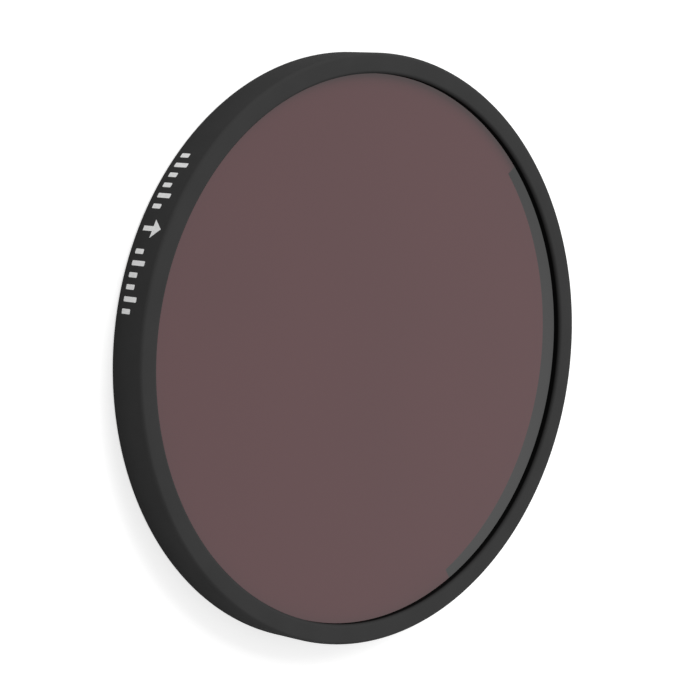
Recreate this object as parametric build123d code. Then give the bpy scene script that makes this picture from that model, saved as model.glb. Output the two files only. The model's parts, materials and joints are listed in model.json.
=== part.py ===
import os

from build123d import *

# Optical bandpass filter: a coated glass disc in a slim turned ring, held from behind by a threaded ring.
# Sizes are in millimetres. The origin is the centre of the rear face, and +Z points out of the front.

# Glass disc
GLASS_DIAMETER = 48.3
GLASS_THICKNESS = 2.0
GLASS_BEVEL = 0.15

# Cell, the ring that carries the glass
SEAT_OVERLAP = 0.65  # how far the front lip reaches in over the glass
LIP_THICKNESS = 0.8
WALL_THICKNESS = 0.75  # outside the thread
OUTER_EDGE_RADIUS = 0.3
LIP_EDGE_RADIUS = 0.3
REAR_EDGE_BEVEL = 0.15
RELIEF_WIDTH = 0.2  # groove in the corner of the seat, clear of the glass edge
RELIEF_DEPTH = 0.1

# Thread between the cell and the retaining ring, M49 x 0.5
THREAD_PITCH = 0.5
THREAD_FORM = 0.54  # depth of a metric thread, in pitches
THREAD_RUNOUT = 0.3  # turned past the retaining ring, for the tool to run out
THREAD_LEAD = 0.12

# Retaining ring
RETAINER_THICKNESS = 0.8
RETAINER_RECESS = 0.1  # how far it lies below the rear face of the cell
RETAINER_BEVEL = 0.1
RETAINER_MOUTH_BEVEL = 0.2
SLOT_COUNT = 2
SLOT_WIDTH = 1.5
SLOT_DEPTH = 0.4

# Radial clearances
GLASS_CLEARANCE = 0.08
THREAD_CLEARANCE = 0.05

# Radii, from the glass outwards
glass_radius = GLASS_DIAMETER / 2
opening_radius = glass_radius - SEAT_OVERLAP
bore_radius = glass_radius + GLASS_CLEARANCE
thread_radius = bore_radius + THREAD_FORM * THREAD_PITCH
outer_radius = thread_radius + WALL_THICKNESS
retainer_radius = thread_radius - THREAD_CLEARANCE

# Heights, from the rear face to the front
retainer_rear = RETAINER_RECESS
glass_rear = retainer_rear + RETAINER_THICKNESS
thread_end = glass_rear + THREAD_RUNOUT
seat_height = glass_rear + GLASS_THICKNESS
cell_height = seat_height + LIP_THICKNESS


def turned(corners, rounded=(), bevelled=()):
    """A body turned about Z from a closed half-section, whose corners are (radius, height).

    rounded and bevelled hold (corner, size) for each corner that isn't left sharp.
    """
    section = make_face(Polyline(*corners, close=True))
    for corner, size in rounded:
        section = fillet(section.vertices().sort_by_distance(corner)[0], size)
    for corner, size in bevelled:
        section = chamfer(section.vertices().sort_by_distance(corner)[0], size)
    return revolve(Plane.XZ * section, Axis.Z)


def filter_cell():
    """The ring: front lip, seat with its relief groove, glass bore and rear thread bore."""
    lip_edge = (opening_radius, cell_height)
    front_edge = (outer_radius, cell_height)
    rear_edge = (outer_radius, 0)
    thread_mouth = (thread_radius, 0)
    relief_height = seat_height - RELIEF_WIDTH
    relief_radius = bore_radius + RELIEF_DEPTH
    corners = [
        (opening_radius, seat_height),
        lip_edge,
        front_edge,
        rear_edge,
        thread_mouth,
        (thread_radius, thread_end),
        (bore_radius, thread_end),
        (bore_radius, relief_height),
        (relief_radius, relief_height),
        (relief_radius, seat_height),
    ]
    rounded = [
        (lip_edge, LIP_EDGE_RADIUS),
        (front_edge, OUTER_EDGE_RADIUS),
    ]
    bevelled = [
        (rear_edge, REAR_EDGE_BEVEL),
        (thread_mouth, THREAD_LEAD),
    ]
    return turned(corners, rounded, bevelled)


def filter_glass():
    """The glass disc, with its edges bevelled so that they don't chip, against the seat."""
    disc = Pos(0, 0, glass_rear + GLASS_THICKNESS / 2) * Cylinder(glass_radius, GLASS_THICKNESS)
    rims = disc.edges().filter_by(GeomType.CIRCLE)
    return chamfer(rims, GLASS_BEVEL)


def retaining_ring():
    """The threaded ring behind the glass, with spanner slots across its rear face."""
    outer_rear = (retainer_radius, retainer_rear)
    outer_front = (retainer_radius, glass_rear)
    mouth = (opening_radius, retainer_rear)
    corners = [mouth, outer_rear, outer_front, (opening_radius, glass_rear)]
    bevelled = [
        (outer_rear, RETAINER_BEVEL),
        (outer_front, RETAINER_BEVEL),
        (mouth, RETAINER_MOUTH_BEVEL),
    ]
    ring = turned(corners, bevelled=bevelled)
    middle_radius = (opening_radius + retainer_radius) / 2
    cutter_length = 2 * (retainer_radius - opening_radius)
    cutter = Pos(0, 0, retainer_rear) * Box(cutter_length, SLOT_WIDTH, 2 * SLOT_DEPTH)
    for place in PolarLocations(middle_radius, SLOT_COUNT):
        ring -= place * cutter
    return ring


def main():
    """Write each piece to its own file."""
    os.makedirs("parts", exist_ok=True)
    for piece in (filter_cell, filter_glass, retaining_ring):
        export_step(piece(), f"parts/{piece.__name__}.step")


main()
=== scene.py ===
"""Looks of a round optical bandpass filter: coated glass in a slim black ring, lying on a white table.

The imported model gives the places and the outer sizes. Each sub-assembly below is a class that shapes
its own mesh with edit-mode operators, dresses it and hands it to the frame. Lengths are metres.
"""

import json
import logging
import math
from collections.abc import Callable
from dataclasses import dataclass
from enum import Enum, auto

import bmesh
import bpy
from mathutils import Matrix, Vector


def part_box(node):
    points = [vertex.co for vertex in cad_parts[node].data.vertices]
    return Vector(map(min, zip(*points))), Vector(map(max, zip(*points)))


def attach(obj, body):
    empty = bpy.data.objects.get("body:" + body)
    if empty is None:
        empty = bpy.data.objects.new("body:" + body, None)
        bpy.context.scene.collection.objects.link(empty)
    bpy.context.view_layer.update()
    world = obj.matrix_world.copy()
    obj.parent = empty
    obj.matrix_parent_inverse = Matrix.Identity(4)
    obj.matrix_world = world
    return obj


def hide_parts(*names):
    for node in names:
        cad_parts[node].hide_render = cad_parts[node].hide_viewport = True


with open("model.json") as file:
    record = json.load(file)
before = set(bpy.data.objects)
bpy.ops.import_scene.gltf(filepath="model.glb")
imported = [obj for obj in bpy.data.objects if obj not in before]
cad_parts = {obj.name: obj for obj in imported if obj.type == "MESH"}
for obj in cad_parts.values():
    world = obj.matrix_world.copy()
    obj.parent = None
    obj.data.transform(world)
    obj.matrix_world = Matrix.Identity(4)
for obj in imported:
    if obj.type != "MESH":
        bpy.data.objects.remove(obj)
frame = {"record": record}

LOG = logging.getLogger("filter")
MM = 0.001
BODY = "root"
FULL_TURN = 2 * math.pi
EDGE_ANGLE = math.radians(35)  # a sharper edge is broken, and shaded as an edge
EDGE_STEPS = 2  # faces across a broken edge
SAME_PLACE = 0.001 * MM  # points nearer to each other than this are one
CLOUD_SPAN = (0.3, 0.7)  # the stretch of a noise that coarse clouds use
GRAIN_SPAN = (0.2, 0.8)  # the stretch that fine grain uses

Value = bpy.types.NodeSocket | float
Colour = bpy.types.NodeSocket | tuple[float, float, float, float]
PointTest = Callable[[Vector], bool]


class Slot(Enum):
    """The record's material slots."""

    METAL = "black_anodised"
    GLASS = "coated_glass"


class Socket(Enum):
    """Inputs of the Principled shader that the finishes set."""

    COLOUR = "Base Color"
    ROUGHNESS = "Roughness"
    IOR = "IOR"
    SPECULAR = "Specular IOR Level"
    NORMAL = "Normal"


class Maths(Enum):
    """Operations of the Math node that the finishes use, under its own names."""

    ADD = auto()
    MULTIPLY = auto()
    POWER = auto()
    SQRT = auto()
    SINE = auto()
    ARCTAN2 = auto()
    MAXIMUM = auto()
    GREATER_THAN = auto()
    LESS_THAN = auto()


class Element(Enum):
    """What is selected in edit mode: the mode's own name, and the mesh's list of them."""

    VERT = "verts"
    EDGE = "edges"
    FACE = "faces"


class Modifier(Enum):
    """Modifiers that shape or finish a piece, under their own names."""

    BEVEL = auto()
    BOOLEAN = auto()
    SHRINKWRAP = auto()
    SOLIDIFY = auto()


class Graph:
    """The node tree of a material or a world, with short calls for the nodes that the looks use."""

    def __init__(self, owner: bpy.types.Material | bpy.types.World) -> None:
        """Start with an empty tree.

        Args:
            owner: the new material or world.
        """
        self.owner = owner
        self.owner.use_nodes = True
        self.tree = self.owner.node_tree
        self.tree.nodes.clear()

    def node(self, kind: str, **settings: object) -> bpy.types.Node:
        """Add a node.

        Args:
            kind: the node's type name.
            settings: attributes of the node to set.

        Returns:
            The new node.
        """
        made = self.tree.nodes.new(kind)
        for name, value in settings.items():
            setattr(made, name, value)
        return made

    def join(self, source: bpy.types.NodeSocket, target: bpy.types.NodeSocket) -> None:
        """Link an output to an input."""
        self.tree.links.new(source, target)

    def feed(self, target: bpy.types.NodeSocket, value: Value | Colour) -> None:
        """Give an input a link or a plain value.

        Args:
            target: the input.
            value: an output socket to link, or what to set.
        """
        if isinstance(value, bpy.types.NodeSocket):
            self.join(value, target)
        else:
            target.default_value = value

    def maths(self, operation: Maths, *values: Value) -> bpy.types.NodeSocket:
        """Work out a number from one or more others.

        Args:
            operation: what the Math node does.
            values: sockets or numbers, in order.

        Returns:
            The result's socket.
        """
        made = self.node("ShaderNodeMath", operation=operation.name)
        for target, value in zip(made.inputs, values):
            self.feed(target, value)
        return made.outputs[0]

    def ramp(
        self,
        value: Value,
        span: tuple[float, float],
        result: tuple[float, float] = (0.0, 1.0),
        even: bool = False,
    ) -> bpy.types.NodeSocket:
        """Map a number from one range to another, without going past its ends.

        Args:
            value: socket or number to map.
            span: where the change begins and ends.
            result: what it gives there.
            even: change evenly, and not eased at both ends.

        Returns:
            The result's socket.
        """
        made = self.node("ShaderNodeMapRange", interpolation_type="LINEAR" if even else "SMOOTHSTEP")
        for target, number in zip(made.inputs, (value, *span, *result)):
            self.feed(target, number)
        return made.outputs["Result"]

    def grey(self, shade: Value) -> bpy.types.NodeSocket:
        """Turn a shade into a neutral colour.

        Args:
            shade: socket or number from 0, black, to 1, white.

        Returns:
            The colour's socket.
        """
        made = self.node("ShaderNodeCombineColor")
        for target in made.inputs[:3]:
            self.feed(target, shade)
        return made.outputs[0]

    def mix(self, factor: Value, first: Colour, second: Colour) -> bpy.types.NodeSocket:
        """Blend two colours.

        Args:
            factor: 0 gives the first, 1 the second.
            first: colour or socket.
            second: colour or socket.

        Returns:
            The blended colour's socket.
        """
        made = self.node("ShaderNodeMix", data_type="RGBA")
        self.feed(made.inputs["Factor"], factor)
        colours = [socket for socket in made.inputs if socket.type == "RGBA"]
        self.feed(colours[0], first)
        self.feed(colours[1], second)
        return next(socket for socket in made.outputs if socket.type == "RGBA")

    def noise(self, grain: float, detail: float = 2.0) -> bpy.types.NodeSocket:
        """Even noise on Object coordinates.

        Args:
            grain: size of its spots.
            detail: how many finer layers it has.

        Returns:
            Socket of a number about 0.5.
        """
        made = self.node("ShaderNodeTexNoise")
        made.inputs["Scale"].default_value = 1 / grain
        made.inputs["Detail"].default_value = detail
        self.join(self.place(), made.inputs["Vector"])
        return made.outputs[0]

    def place(self) -> bpy.types.NodeSocket:
        """Place on the piece, as the socket of the Object coordinates."""
        return self.node("ShaderNodeTexCoord").outputs["Object"]

    def axes(self) -> list[bpy.types.NodeSocket]:
        """Place on the piece along each axis.

        Returns:
            Sockets of X, Y and Z in Object coordinates.
        """
        made = self.node("ShaderNodeSeparateXYZ")
        self.join(self.place(), made.inputs[0])
        return list(made.outputs)

    def radius(self, x: Value, y: Value) -> bpy.types.NodeSocket:
        """Work out the distance of (x, y) from zero."""
        squares = self.maths(Maths.ADD, self.maths(Maths.MULTIPLY, x, x), self.maths(Maths.MULTIPLY, y, y))
        return self.maths(Maths.SQRT, squares)

    def bump(self, height: bpy.types.NodeSocket, depth: float) -> bpy.types.NodeSocket:
        """Normals of a rough surface.

        Args:
            height: socket of a height from 0 to 1.
            depth: real depth of that height.

        Returns:
            Socket of the normal.
        """
        made = self.node("ShaderNodeBump")
        made.inputs["Distance"].default_value = depth
        self.join(height, made.inputs["Height"])
        return made.outputs["Normal"]

    def close(self, shader: bpy.types.Node) -> None:
        """Link a shader to the tree's output.

        Args:
            shader: the shader's node.
        """
        owner = "World" if isinstance(self.owner, bpy.types.World) else "Material"
        output = self.node(f"ShaderNodeOutput{owner}")
        self.join(shader.outputs[0], output.inputs["Surface"])

    def surface(self, **values: Value | Colour) -> bpy.types.Material:
        """Close the material with a Principled shader.

        Args:
            values: a value or socket for each Socket, by its name.

        Returns:
            The finished material.
        """
        shader = self.node("ShaderNodeBsdfPrincipled")
        for name, value in values.items():
            self.feed(shader.inputs[Socket[name].value], value)
        self.close(shader)
        return self.owner


@dataclass(frozen=True)
class Lip:
    """The wall of the opening, over the glass."""

    radius: float
    bottom: float
    top: float
    rounding: float


@dataclass(frozen=True)
class Anodised:
    """Matt black anodised aluminium; painted shade makes the rim darker than the face and the lip's wall
    near black.
    """

    # lit tone of the face, and the rim's tone in painted shade
    face_lit_tone: float = 0.0375
    rim_painted_shade: float = 0.0370
    # tone of the painted shade on the lip's wall, and how fast that painted shade fades up its rounded edge
    lip_painted_shade: float = 0.0070
    lip_shade_fade: float = 0.48
    cloud: float = 0.04
    cloud_size: float = 4 * MM
    grain_size: float = 0.09 * MM
    grain_detail: float = 3.0
    grain_depth: float = 0.0012 * MM
    groove_pitch: float = 0.21 * MM
    groove_share: float = 0.05
    roughness: float = 0.6
    roughness_spread: float = 0.06
    face_specular: float = 0.05
    rim_specular: float = 0.005

    def material(self, name: str, lip: Lip) -> bpy.types.Material:
        """Make the finish.

        Args:
            name: name of the material.
            lip: the lip's wall, which gets near-black painted shade.

        Returns:
            The material.
        """
        graph = Graph(bpy.data.materials.new(name))
        x, y, z = graph.axes()
        radius = graph.radius(x, y)
        rise = graph.ramp(z, (lip.top - lip.rounding, lip.top), even=True)
        # painted shade: the rim's tone is darker than the face's lit tone, blended up the rounded edges
        shade = graph.ramp(rise, (0.0, 1.0), (self.rim_painted_shade, self.face_lit_tone), even=True)
        clouds = graph.ramp(graph.noise(self.cloud_size), CLOUD_SPAN, (1 - self.cloud, 1 + self.cloud))
        shade = graph.maths(Maths.MULTIPLY, shade, clouds)
        # painted shade: near black on the lip's wall over the glass, fading out up its rounded edge, and
        # without sheen there
        clear = self.outside_lip_shade(graph, radius, z, graph.maths(Maths.POWER, rise, self.lip_shade_fade), lip)
        shade = graph.maths(Maths.ADD, self.lip_painted_shade, graph.maths(Maths.MULTIPLY, shade, clear))
        grain = graph.noise(self.grain_size, self.grain_detail)
        turns = graph.maths(Maths.SINE, graph.maths(Maths.MULTIPLY, radius, FULL_TURN / self.groove_pitch))
        relief = graph.maths(Maths.ADD, grain, graph.maths(Maths.MULTIPLY, turns, self.groove_share))
        sheen = graph.ramp(rise, (0.0, 1.0), (self.rim_specular, self.face_specular), even=True)
        spread = (self.roughness - self.roughness_spread, self.roughness + self.roughness_spread)
        return graph.surface(
            COLOUR=graph.grey(shade),
            ROUGHNESS=graph.ramp(grain, GRAIN_SPAN, spread),
            SPECULAR=graph.maths(Maths.MULTIPLY, clear, sheen),
            NORMAL=graph.bump(relief, self.grain_depth),
        )

    @staticmethod
    def outside_lip_shade(graph: Graph, radius: Value, z: Value, rise: Value, lip: Lip) -> bpy.types.NodeSocket:
        """Tell the lip's wall, which gets painted shade, from the rest.

        Args:
            graph: the material's graph.
            radius: socket of the distance from the axis.
            z: socket of the height.
            rise: socket that goes from 0 to 1 up the rounded edges.
            lip: the lip's wall.

        Returns:
            Socket that is 0 on the lip's wall, grows up its rounded edge, and is 1 elsewhere.
        """
        beyond = graph.maths(Maths.GREATER_THAN, radius, lip.radius + lip.rounding)
        below = graph.maths(Maths.LESS_THAN, z, lip.bottom - lip.rounding)
        return graph.maths(Maths.MAXIMUM, rise, graph.maths(Maths.MAXIMUM, beyond, below))


@dataclass(frozen=True)
class Arc:
    """Where a painted view of the cell's wall shows grey through the far edge of the glass.

    It lies on the front face only, above level, between the opening's edge and a circle as large, moved
    towards the near side. Its ends are angles about that circle's centre, from +Y towards -X.
    """

    opening: float
    level: float
    shift: float = 1.48 * MM
    lower_end: float = math.radians(-51.2)
    upper_end: float = math.radians(46.8)
    blur: float = 0.06 * MM


@dataclass(frozen=True)
class CoatedGlass:
    """Dark red filter glass under a neutral reflecting coating, which together look dull mauve."""

    body: tuple[float, float, float] = (0.0845, 0.0215, 0.0260)
    # tones of the painted view of the wall, with painted shade that makes it darker towards the arc's upper
    # end
    painted_wall_upper: float = 0.0
    painted_wall_lower: float = 0.0205
    ior: float = 1.65
    roughness: float = 0.035
    roughness_spread: float = 0.01
    cloud: float = 0.02
    cloud_size: float = 14 * MM
    cloud_detail: float = 1.0

    def material(self, name: str, arc: Arc) -> bpy.types.Material:
        """Make the finish.

        Args:
            name: name of the material.
            arc: the painted grey arc near the far edge.

        Returns:
            The material.
        """
        graph = Graph(bpy.data.materials.new(name))
        x, y, z = graph.axes()
        moved = graph.maths(Maths.ADD, y, arc.shift)
        angle = graph.maths(Maths.ARCTAN2, graph.maths(Maths.MULTIPLY, x, -1.0), moved)
        fading = (arc.lower_end / 2, arc.upper_end)
        # painted shade on the wall seen through the glass: paler at the lower end, black at the upper end
        shade = graph.ramp(angle, fading, (self.painted_wall_lower, self.painted_wall_upper), even=True)
        clouds = graph.ramp(graph.noise(self.cloud_size, self.cloud_detail), CLOUD_SPAN)
        body = graph.mix(clouds, self.tint(1 - self.cloud), self.tint(1 + self.cloud))
        inside = self.inside_arc(graph, graph.radius(x, moved), angle, arc)
        inside = graph.maths(Maths.MULTIPLY, inside, graph.maths(Maths.GREATER_THAN, z, arc.level))
        spread = (self.roughness - self.roughness_spread, self.roughness + self.roughness_spread)
        return graph.surface(
            COLOUR=graph.mix(inside, body, graph.grey(shade)),
            ROUGHNESS=graph.ramp(clouds, (0.0, 1.0), spread),
            IOR=self.ior,
        )

    def tint(self, strength: float) -> Colour:
        """Make the body's colour stronger or weaker. A strength of 1 leaves it as it is."""
        red, green, blue = (channel * strength for channel in self.body)
        return (red, green, blue, 1.0)

    @staticmethod
    def inside_arc(graph: Graph, radius: Value, angle: Value, arc: Arc) -> bpy.types.NodeSocket:
        """Tell the grey arc from the rest, with a fine soft edge.

        Args:
            graph: the material's graph.
            radius: socket of the distance from the moved circle's centre.
            angle: socket of the angle about it.
            arc: the arc.

        Returns:
            Socket that is 1 inside the arc and 0 outside it.
        """
        turn = arc.blur / arc.opening
        beyond = graph.ramp(radius, (arc.opening - arc.blur, arc.opening + arc.blur))
        above = graph.ramp(angle, (arc.lower_end - turn, arc.lower_end + turn))
        below = graph.ramp(angle, (arc.upper_end - turn, arc.upper_end + turn), (1.0, 0.0))
        return graph.maths(Maths.MULTIPLY, beyond, graph.maths(Maths.MULTIPLY, above, below))


@dataclass(frozen=True)
class Ink:
    """White pad-printed ink, thinner in spots."""

    white: float = 0.96
    thin: float = 0.90
    grain_size: float = 0.25 * MM
    grain_detail: float = 3.0
    grain_span: tuple[float, float] = (0.25, 0.6)
    roughness: float = 0.5

    def material(self, name: str) -> bpy.types.Material:
        """Make the finish.

        Args:
            name: name of the material.

        Returns:
            The material.
        """
        graph = Graph(bpy.data.materials.new(name))
        grain = graph.noise(self.grain_size, self.grain_detail)
        shade = graph.ramp(grain, self.grain_span, (self.thin, self.white))
        return graph.surface(COLOUR=graph.grey(shade), ROUGHNESS=self.roughness)


@dataclass(frozen=True)
class Corner:
    """A corner of a turned section, rounded or bevelled by size in that many steps."""

    radius: float
    height: float
    size: float = 0.0
    steps: int = 1

    def place(self) -> Vector:
        """Say where the corner lies in the XZ plane."""
        return Vector((self.radius, 0, self.height))


def near(place: Vector) -> PointTest:
    """Make a test for points at a place."""
    return lambda point: (point - place).length < SAME_PLACE


def level_with(height: float) -> PointTest:
    """Make a test for points at a height."""
    return lambda point: abs(point.z - height) < SAME_PLACE


class Bench:
    """Operations that the sub-assemblies share."""

    @staticmethod
    def clear() -> None:
        """Deselect everything, because an operator acts on all that is selected."""
        bpy.ops.object.select_all(action="DESELECT")

    @classmethod
    def take(cls, *pieces: bpy.types.Object) -> None:
        """Select those pieces alone and make the first the active one.

        Args:
            pieces: the pieces.
        """
        cls.clear()
        for piece in pieces:
            piece.select_set(True)
        bpy.context.view_layer.objects.active = pieces[0]

    @staticmethod
    def settle() -> None:
        """Leave the selected object's place, turn and scale in its mesh."""
        bpy.ops.object.transform_apply(location=True, rotation=True, scale=True)

    @classmethod
    def apply(cls, piece: bpy.types.Object, kind: Modifier, **settings: object) -> None:
        """Add a modifier to a piece and apply it.

        Args:
            piece: the piece.
            kind: which modifier.
            settings: attributes of the modifier to set.
        """
        cls.take(piece)
        made = piece.modifiers.new(kind.name.lower(), kind.name)
        for name, value in settings.items():
            setattr(made, name, value)
        bpy.ops.object.modifier_apply(modifier=made.name)

    @classmethod
    def soften(cls, piece: bpy.types.Object, width: float) -> None:
        """Break the sharp edges with a fine bevel, and shade smooth between them.

        Args:
            piece: the piece.
            width: width of the bevel.
        """
        sharp = {"limit_method": "ANGLE", "angle_limit": EDGE_ANGLE}
        cls.apply(piece, Modifier.BEVEL, width=width, segments=EDGE_STEPS, **sharp)
        bpy.ops.object.shade_smooth_by_angle(angle=EDGE_ANGLE)

    @staticmethod
    def pick(piece: bpy.types.Object, kind: Element, test: PointTest) -> None:
        """Select the vertices, edges or faces of a mesh in edit mode by their place.

        Args:
            piece: the piece in edit mode.
            kind: what is selected.
            test: says whether a point is wanted. An edge or face is, where all its vertices are.
        """
        mesh = bmesh.from_edit_mesh(piece.data)
        mesh.select_mode = {kind.name}
        bpy.context.tool_settings.mesh_select_mode = tuple(kind is each for each in Element)
        for element in (*mesh.faces, *mesh.edges, *mesh.verts):
            element.select = False
        for element in getattr(mesh, kind.value):
            vertices = [element] if kind is Element.VERT else element.verts
            if all(test(vertex.co) for vertex in vertices):
                element.select = True
        mesh.select_flush_mode()
        bmesh.update_edit_mesh(piece.data)

    @staticmethod
    def weld() -> None:
        """Merge doubled vertices in edit mode and turn every face outwards."""
        bpy.ops.mesh.select_all(action="SELECT")
        bpy.ops.mesh.remove_doubles(threshold=SAME_PLACE)
        bpy.ops.mesh.normals_make_consistent(inside=False)

    @classmethod
    def section(cls, name: str, corners: list[Corner]) -> bpy.types.Object:
        """Draw a closed section as one face in the XZ plane, from a plane merged to its first corner.

        Args:
            name: name of the piece.
            corners: the section's corners, in order.

        Returns:
            The piece, in edit mode.
        """
        cls.clear()
        bpy.ops.mesh.primitive_plane_add(size=MM, location=corners[0].place())
        piece = bpy.context.object
        piece.name = name
        cls.settle()
        bpy.ops.object.mode_set(mode="EDIT")
        bpy.context.tool_settings.mesh_select_mode = (True, False, False)
        bpy.ops.mesh.select_all(action="SELECT")
        bpy.ops.mesh.merge(type="CENTER")
        for last, corner in zip(corners, corners[1:]):
            move = (corner.radius - last.radius, 0, corner.height - last.height)
            bpy.ops.mesh.extrude_region_move(TRANSFORM_OT_translate={"value": move})
        bpy.ops.mesh.select_all(action="SELECT")
        bpy.ops.mesh.edge_face_add()
        for corner in corners:
            if corner.size:
                cls.pick(piece, Element.VERT, near(corner.place()))
                bpy.ops.mesh.bevel(offset=corner.size, segments=corner.steps, affect="VERTICES")
        return piece

    @classmethod
    def turn(cls, name: str, corners: list[Corner], steps: int) -> bpy.types.Object:
        """Turn a closed section about the Z axis.

        Args:
            name: name of the piece.
            corners: the section's corners, in order.
            steps: how many steps the full turn takes.

        Returns:
            The turned piece, at the origin.
        """
        piece = cls.section(name, corners)
        bpy.ops.mesh.select_all(action="SELECT")
        bpy.ops.mesh.delete(type="ONLY_FACE")
        bpy.ops.mesh.select_all(action="SELECT")
        bpy.ops.mesh.spin(steps=steps, angle=FULL_TURN, center=(0, 0, 0), axis=(0, 0, 1))
        cls.weld()
        bpy.ops.object.mode_set(mode="OBJECT")
        return piece

    @staticmethod
    def hand_over(piece: bpy.types.Object, slot: Slot, finish: bpy.types.Material, node: str = "") -> None:
        """Dress a finished piece and give it to the frame.

        Args:
            piece: the piece, at the origin.
            slot: the record's slot that its finish comes from; not used.
            finish: its material.
            node: the CAD node that it stands for, if any.
        """
        piece.data.name = piece.name
        piece.data.materials.clear()
        piece.data.materials.append(finish)
        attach(piece, BODY)
        if node:
            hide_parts(node)
        LOG.info("%s: %d faces, stands for %s", piece.name, len(piece.data.polygons), node or "no node")


@dataclass
class Sizes:
    """Sizes that the pieces share, read from the frame where it gives them."""

    outer_radius: float
    cell_height: float
    glass_radius: float
    glass_rear: float
    seat_height: float
    retainer_rear: float
    opening_radius: float
    glass_clearance: float = 0.08 * MM
    wall: float = 0.75 * MM
    thread_pitch: float = 0.5 * MM
    thread_clearance: float = 0.05 * MM
    thread_runout: float = 0.3 * MM
    thread_margin: float = 0.02 * MM
    turn_steps: int = 256

    @classmethod
    def from_frame(cls) -> "Sizes":
        """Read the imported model's own sizes.

        Returns:
            The shared sizes.
        """
        rim = next(mount for mount in frame["record"]["mounts"] if mount["name"] == "rim")
        _, cell_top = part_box("filter_cell")
        glass_low, glass_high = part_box("filter_glass")
        ring_low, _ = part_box("retaining_ring")
        cell_vertices = bpy.data.objects["filter_cell"].data.vertices
        return cls(
            outer_radius=rim["dims"]["r_mm"] * MM,
            cell_height=cell_top.z,
            glass_radius=glass_high.x,
            glass_rear=glass_low.z,
            seat_height=glass_high.z,
            retainer_rear=ring_low.z,
            opening_radius=min(vertex.co.xy.length for vertex in cell_vertices),
        )

    @property
    def seat_overlap(self) -> float:
        """How far the lip reaches in over the glass."""
        return self.glass_radius - self.opening_radius

    @property
    def bore_radius(self) -> float:
        """Radius of the bore round the glass, and of the thread's crests."""
        return self.glass_radius + self.glass_clearance

    @property
    def thread_radius(self) -> float:
        """Radius of the thread's roots in the cell."""
        return self.outer_radius - self.wall

    @property
    def thread_end(self) -> float:
        """Height at which the thread stops."""
        return self.glass_rear + self.thread_runout

    def thread(self, root: float, crest: float, low: float, high: float) -> list[Corner]:
        """Corners of a V thread along a wall, from one end to the other, clear of both by a margin.

        Args:
            root: radius at the start of each V.
            crest: radius at the middle of each V.
            low: height of the lower end.
            high: height of the upper end.

        Returns:
            The corners, two for each whole pitch, with the phase counted from the rear face.
        """
        half = self.thread_pitch / 2
        corners = []
        for number in range(int(high / half) + 1):
            height = number * half
            if low + self.thread_margin < height < high - self.thread_margin:
                corners.append(Corner(crest if number % 2 else root, height))
        return corners


@dataclass
class FilterCell:
    """The turned ring with its front lip, glass seat and rear thread."""

    sizes: Sizes
    outer_rounding: float = 0.3 * MM
    lip_rounding: float = 0.3 * MM
    rear_bevel: float = 0.15 * MM
    relief_width: float = 0.2 * MM
    relief_depth: float = 0.1 * MM
    thread_lead: float = 0.12 * MM
    edge_break: float = 0.012 * MM
    rounding_steps: int = 8

    def build(self) -> bpy.types.Object:
        """Turn the ring.

        Returns:
            The ring's object.
        """
        sizes = self.sizes
        relief_height = sizes.seat_height - self.relief_width
        relief_radius = sizes.bore_radius + self.relief_depth
        mouth_radius = sizes.thread_radius + self.thread_lead
        corners = [
            Corner(sizes.opening_radius, sizes.seat_height),
            Corner(sizes.opening_radius, sizes.cell_height, self.lip_rounding, self.rounding_steps),
            Corner(sizes.outer_radius, sizes.cell_height, self.outer_rounding, self.rounding_steps),
            Corner(sizes.outer_radius, 0, self.rear_bevel),
            Corner(mouth_radius, 0),
            Corner(sizes.thread_radius, self.thread_lead),
            *sizes.thread(sizes.thread_radius, sizes.bore_radius, self.thread_lead, sizes.thread_end),
            Corner(sizes.bore_radius, sizes.thread_end),
            Corner(sizes.bore_radius, relief_height),
            Corner(relief_radius, relief_height),
            Corner(relief_radius, sizes.seat_height),
        ]
        ring = Bench.turn("cell_ring", corners, sizes.turn_steps)
        Bench.soften(ring, self.edge_break)
        return ring

    def lip(self) -> Lip:
        """Say where the opening's wall is, for the finish's painted shade."""
        sizes = self.sizes
        return Lip(sizes.opening_radius, sizes.seat_height, sizes.cell_height, self.lip_rounding)

    def dress(self, ring: bpy.types.Object, metal: bpy.types.Material) -> None:
        """Finish the ring and hand it over. The glass doesn't mirror it, as in the photograph."""
        ring.visible_glossy = False
        Bench.hand_over(ring, Slot.METAL, metal, "filter_cell")


@dataclass
class GlassDisc:
    """The coated glass disc."""

    sizes: Sizes
    bevel: float = 0.15 * MM
    edge_break: float = 0.01 * MM

    def build(self) -> bpy.types.Object:
        """Shape the disc from a cylinder: bevelled edges and a ground ring round each face.

        Returns:
            The disc's object.
        """
        sizes = self.sizes
        depth = sizes.seat_height - sizes.glass_rear
        middle = (0, 0, sizes.glass_rear + depth / 2)
        Bench.clear()
        bpy.ops.mesh.primitive_cylinder_add(
            vertices=sizes.turn_steps, radius=sizes.glass_radius, depth=depth, location=middle
        )
        disc = bpy.context.object
        disc.name = "glass_disc"
        Bench.settle()
        bpy.ops.object.mode_set(mode="EDIT")
        for height in (sizes.glass_rear, sizes.seat_height):
            Bench.pick(disc, Element.EDGE, level_with(height))
            bpy.ops.mesh.bevel(offset=self.bevel, segments=EDGE_STEPS, affect="EDGES")
            Bench.pick(disc, Element.FACE, level_with(height))
            bpy.ops.mesh.inset(thickness=sizes.seat_overlap - self.bevel)
        Bench.weld()
        bpy.ops.object.mode_set(mode="OBJECT")
        Bench.soften(disc, self.edge_break)
        return disc

    def arc(self) -> Arc:
        """Say where the painted grey arc near the far edge is, for the finish."""
        sizes = self.sizes
        return Arc(sizes.opening_radius, (sizes.glass_rear + sizes.seat_height) / 2)

    def dress(self, disc: bpy.types.Object, glass: bpy.types.Material) -> None:
        """Finish the disc and hand it over."""
        Bench.hand_over(disc, Slot.GLASS, glass, "filter_glass")


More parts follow.
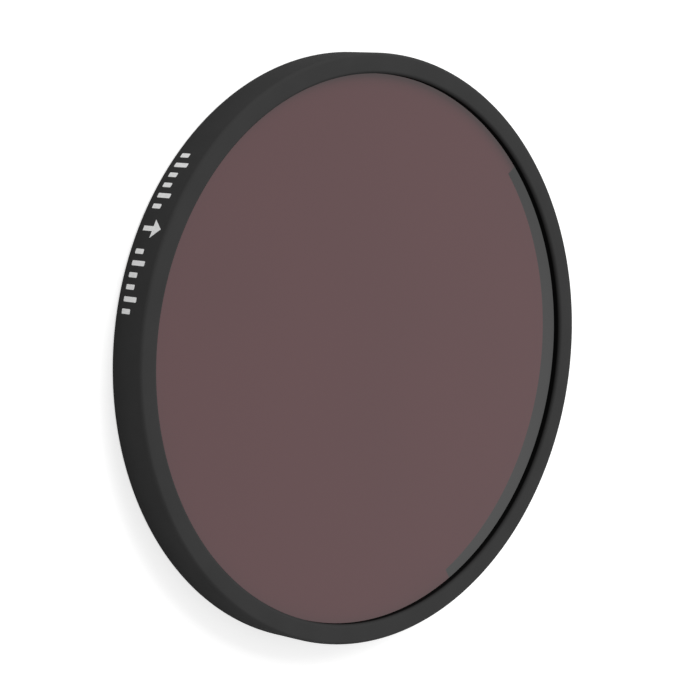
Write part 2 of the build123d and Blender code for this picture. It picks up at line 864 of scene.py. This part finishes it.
@dataclass
class RetainingRing:
    """The threaded ring behind the glass, with two spanner slots."""

    sizes: Sizes
    bevel: float = 0.1 * MM
    mouth_bevel: float = 0.2 * MM
    slot_count: int = 2
    slot_width: float = 1.5 * MM
    slot_depth: float = 0.4 * MM
    cutter_reach: float = 2 * MM
    edge_break: float = 0.012 * MM

    def build(self) -> bpy.types.Object:
        """Turn the ring and cut its slots.

        Returns:
            The ring's object.
        """
        sizes = self.sizes
        crest = sizes.thread_radius - sizes.thread_clearance
        root = sizes.bore_radius - sizes.thread_clearance
        thread_low = sizes.retainer_rear + self.bevel
        thread_high = sizes.glass_rear - self.bevel
        corners = [
            Corner(sizes.opening_radius, sizes.glass_rear),
            Corner(sizes.opening_radius, sizes.retainer_rear, self.mouth_bevel),
            Corner(crest - self.bevel, sizes.retainer_rear),
            *sizes.thread(crest, root, thread_low, thread_high),
            Corner(root, sizes.glass_rear),
        ]
        ring = Bench.turn("retainer", corners, sizes.turn_steps)
        Bench.soften(ring, self.edge_break)
        for number in range(self.slot_count):
            self.cut_slot(ring, number * FULL_TURN / self.slot_count)
        bpy.ops.object.mode_set(mode="EDIT")
        Bench.weld()
        bpy.ops.object.mode_set(mode="OBJECT")
        bpy.ops.object.shade_smooth_by_angle(angle=EDGE_ANGLE)
        return ring

    def cut_slot(self, ring: bpy.types.Object, angle: float) -> None:
        """Cut one spanner slot across the rear face, with a block that reaches past both walls.

        Args:
            ring: the ring.
            angle: where the slot lies, about Z from +X.
        """
        sizes = self.sizes
        middle = (sizes.opening_radius + sizes.thread_radius) / 2
        place = Matrix.Rotation(angle, 4, "Z") @ Vector((middle, 0, sizes.retainer_rear))
        Bench.clear()
        bpy.ops.mesh.primitive_cube_add(size=1, location=place, rotation=(0, 0, angle))
        cutter = bpy.context.object
        cutter.scale = (2 * self.cutter_reach, self.slot_width, 2 * self.slot_depth)
        Bench.settle()
        Bench.apply(ring, Modifier.BOOLEAN, operation="DIFFERENCE", solver="EXACT", object=cutter)
        bpy.data.objects.remove(cutter)

    def dress(self, ring: bpy.types.Object, metal: bpy.types.Material) -> None:
        """Finish the ring and hand it over."""
        Bench.hand_over(ring, Slot.METAL, metal, "retaining_ring")


@dataclass
class RimScale:
    """Plain white print on the rim: an index scale with an arrow for the way light goes through."""

    sizes: Sizes
    middle_angle: float = math.radians(-107)
    tick_step: float = math.radians(2.25)
    ticks_each_side: int = 7
    bare_beside_arrow: int = 1
    long_tick_every: int = 3
    tick_width: float = 0.42 * MM
    tick_height: float = 1.00 * MM
    long_tick_height: float = 1.55 * MM
    corner: float = 0.08 * MM
    corner_steps: int = 3
    arrow_stem: float = 1.15 * MM
    arrow_head: tuple[float, float] = (1.60 * MM, 1.00 * MM)
    base: float = 0.80 * MM
    ink_proud: float = 0.02 * MM
    ink_sunk: float = 0.02 * MM

    def build(self, ring: bpy.types.Object) -> bpy.types.Object:
        """Lay out the marks flat on the rim, wrap them round it and thicken them to ink.

        Args:
            ring: the finished cell that carries the print.

        Returns:
            The print's object.
        """
        Bench.take(*self.marks())
        bpy.ops.object.join()
        layer = bpy.context.object
        layer.name = "rim_scale"
        Bench.apply(layer, Modifier.SHRINKWRAP, target=ring, offset=self.ink_proud)
        Bench.apply(layer, Modifier.SOLIDIFY, thickness=self.ink_proud + self.ink_sunk, offset=-1)
        return layer

    def marks(self) -> list[bpy.types.Object]:
        """Make the ticks and the arrow.

        Returns:
            Their objects, each on a plane that touches the rim.
        """
        marks = []
        for number in range(-self.ticks_each_side, self.ticks_each_side + 1):
            angle = self.middle_angle + number * self.tick_step
            if number == 0:
                marks += self.arrow(angle)
            elif abs(number) > self.bare_beside_arrow:
                tall = number % self.long_tick_every == 0
                marks.append(self.tick(angle, self.long_tick_height if tall else self.tick_height))
        return marks

    def plate(self, width: float, height: float, bottom: float) -> bpy.types.Object:
        """Add a flat plate that faces outwards on the rim at angle 0.

        Args:
            width: its size round the rim.
            height: its size along the axis.
            bottom: height of its lower edge.

        Returns:
            The plate, in edit mode.
        """
        Bench.clear()
        place = (self.sizes.outer_radius, 0, bottom + height / 2)
        bpy.ops.mesh.primitive_plane_add(size=1, location=place, rotation=(0, math.pi / 2, 0))
        plate = bpy.context.object
        plate.scale = (height, width, 1)
        Bench.settle()
        bpy.ops.object.mode_set(mode="EDIT")
        return plate

    @staticmethod
    def carry(plate: bpy.types.Object, angle: float) -> bpy.types.Object:
        """Carry a plate round the rim and leave its place in its mesh.

        Args:
            plate: the plate, in edit mode.
            angle: where it goes, about Z from +X.

        Returns:
            The plate, in object mode.
        """
        bpy.ops.object.mode_set(mode="OBJECT")
        plate.rotation_euler.z = angle
        Bench.settle()
        return plate

    def tick(self, angle: float, height: float) -> bpy.types.Object:
        """Make one tick with rounded corners.

        Args:
            angle: where it lies, about Z from +X.
            height: its height.

        Returns:
            The tick's object.
        """
        plate = self.plate(self.tick_width, height, self.base)
        bpy.ops.mesh.select_all(action="SELECT")
        bpy.ops.mesh.bevel(offset=self.corner, segments=self.corner_steps, affect="VERTICES")
        return self.carry(plate, angle)

    def arrow(self, angle: float) -> list[bpy.types.Object]:
        """Make the arrow's stem and head.

        Args:
            angle: where it lies, about Z from +X.

        Returns:
            The objects of both.
        """
        stem = self.carry(self.plate(self.tick_width, self.arrow_stem, self.base), angle)
        neck = self.base + self.arrow_stem
        width, height = self.arrow_head
        head = self.plate(width, height, neck)
        Bench.pick(head, Element.VERT, lambda point: point.z > neck + height / 2)
        bpy.ops.mesh.merge(type="CENTER")
        return [stem, self.carry(head, angle)]

    def dress(self, layer: bpy.types.Object, ink: bpy.types.Material) -> None:
        """Finish the print and hand it over."""
        Bench.hand_over(layer, Slot.METAL, ink)


@dataclass(frozen=True)
class WhiteTable:
    """White paper under and behind the filter."""

    width: float = 3.0
    shade: float = 0.8
    grain_share: float = 0.01
    grain_size: float = 2 * MM
    lift: float = 0.6

    def build(self) -> None:
        """Lay the table's top at the filter's rear face."""
        Bench.clear()
        bpy.ops.mesh.primitive_plane_add(size=self.width)
        table = bpy.context.object
        table.name = "table"
        table.data.materials.append(self.material())

    def material(self) -> bpy.types.Material:
        """White paper, lifted to plain white where it is seen, and not where it lights the object.

        Returns:
            The material.
        """
        graph = Graph(bpy.data.materials.new("white_paper"))
        grain = graph.ramp(graph.noise(self.grain_size), GRAIN_SPAN, (1 - self.grain_share, 1.0))
        paper = graph.node("ShaderNodeBsdfDiffuse")
        graph.join(graph.grey(graph.maths(Maths.MULTIPLY, grain, self.shade)), paper.inputs["Color"])
        lift = graph.node("ShaderNodeEmission")
        seen = graph.node("ShaderNodeLightPath").outputs["Is Camera Ray"]
        graph.join(graph.maths(Maths.MULTIPLY, seen, self.lift), lift.inputs["Strength"])
        both = graph.node("ShaderNodeAddShader")
        graph.join(paper.outputs[0], both.inputs[0])
        graph.join(lift.outputs[0], both.inputs[1])
        graph.close(both)
        return graph.owner


@dataclass(frozen=True)
class Lamp:
    """A soft square lamp that looks at the filter."""

    name: str
    place: tuple[float, float, float]
    size: float
    power: float

    def build(self) -> None:
        """Hang the lamp. Nothing mirrors it, so that the glass keeps its colour from every side."""
        data = bpy.data.lights.new(self.name, "AREA")
        data.size = self.size
        data.energy = self.power
        lamp = bpy.data.objects.new(self.name, data)
        lamp.location = self.place
        lamp.rotation_mode = "QUATERNION"
        lamp.rotation_quaternion = (-Vector(self.place)).to_track_quat("-Z", "Y")
        lamp.visible_glossy = False
        bpy.context.scene.collection.objects.link(lamp)
        LOG.info("%s: %.2f W", self.name, self.power)


@dataclass(frozen=True)
class Studio:
    """Table, sky and lamp."""

    table: WhiteTable = WhiteTable()
    lamp: Lamp = Lamp("key_lamp", place=(-0.48, 0.15, 0.50), size=0.5, power=3.1)
    sky_light: float = 0.5

    def build(self) -> None:
        """Set up the table, the sky and the lamp."""
        self.table.build()
        self.sky()
        self.lamp.build()

    def sky(self) -> None:
        """Make an even sky that is white where it is seen and softer where it lights the filter."""
        world = bpy.data.worlds.new("sky")
        bpy.context.scene.world = world
        graph = Graph(world)
        rays = graph.node("ShaderNodeLightPath").outputs
        seen = graph.maths(Maths.MAXIMUM, rays["Is Camera Ray"], rays["Is Glossy Ray"])
        seen = graph.maths(Maths.MAXIMUM, seen, rays["Is Transmission Ray"])
        background = graph.node("ShaderNodeBackground")
        background.inputs["Color"].default_value = (1, 1, 1, 1)
        strength = graph.ramp(seen, (0.0, 1.0), (self.sky_light, 1.0), even=True)
        graph.join(strength, background.inputs["Strength"])
        graph.close(background)


@dataclass(frozen=True)
class PhotoCamera:
    """The photograph's view: down on the face at an angle, turned so that the filter looks upright."""

    picture: int = 700
    radius_pixels: float = 296.75
    distance_in_radii: float = 10.0
    tilt: float = math.radians(43.50)
    roll: float = math.radians(97.46)
    centre_pixel: tuple[float, float] = (371.67, 350.69)
    sensor: float = 36.0
    near_clip: float = 10 * MM
    far_clip: float = 10.0

    def build(self, sizes: Sizes) -> None:
        """Place the camera.

        Args:
            sizes: the shared sizes, for the outer radius and the face's height.
        """
        data = bpy.data.cameras.new("photo_camera")
        data.sensor_width = self.sensor
        data.lens = self.sensor * self.radius_pixels * self.distance_in_radii / self.picture
        data.clip_start = self.near_clip
        data.clip_end = self.far_clip
        forward = Vector((0, math.sin(self.tilt), -math.cos(self.tilt)))
        level = Vector((1, 0, 0))
        upright = Vector((0, math.cos(self.tilt), math.sin(self.tilt)))
        right = math.cos(self.roll) * level + math.sin(self.roll) * upright
        up = right.cross(forward)
        pixel = sizes.outer_radius / self.radius_pixels
        across = (self.centre_pixel[0] - self.picture / 2) * pixel
        down = (self.centre_pixel[1] - self.picture / 2) * pixel
        face = Vector((0, 0, sizes.cell_height))
        place = face - across * right + down * up - self.distance_in_radii * sizes.outer_radius * forward
        camera = bpy.data.objects.new("photo_camera", data)
        turn = Matrix((right, up, -forward)).transposed().to_4x4()
        camera.matrix_world = Matrix.Translation(place) @ turn
        bpy.context.scene.collection.objects.link(camera)
        bpy.context.scene.camera = camera


def main() -> None:
    logging.basicConfig(level=logging.INFO, format="%(message)s")
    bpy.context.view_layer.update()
    bpy.context.scene.view_settings.view_transform = "Standard"
    sizes = Sizes.from_frame()
    PhotoCamera().build(sizes)
    Studio().build()

    cell = FilterCell(sizes)
    metal = Anodised().material("black_anodised", cell.lip())
    ring = cell.build()
    cell.dress(ring, metal)

    disc = GlassDisc(sizes)
    disc.dress(disc.build(), CoatedGlass().material("coated_glass", disc.arc()))

    retainer = RetainingRing(sizes)
    retainer.dress(retainer.build(), metal)

    scale = RimScale(sizes)
    scale.dress(scale.build(ring), Ink().material("white_ink"))


if __name__ == "__main__":
    main()
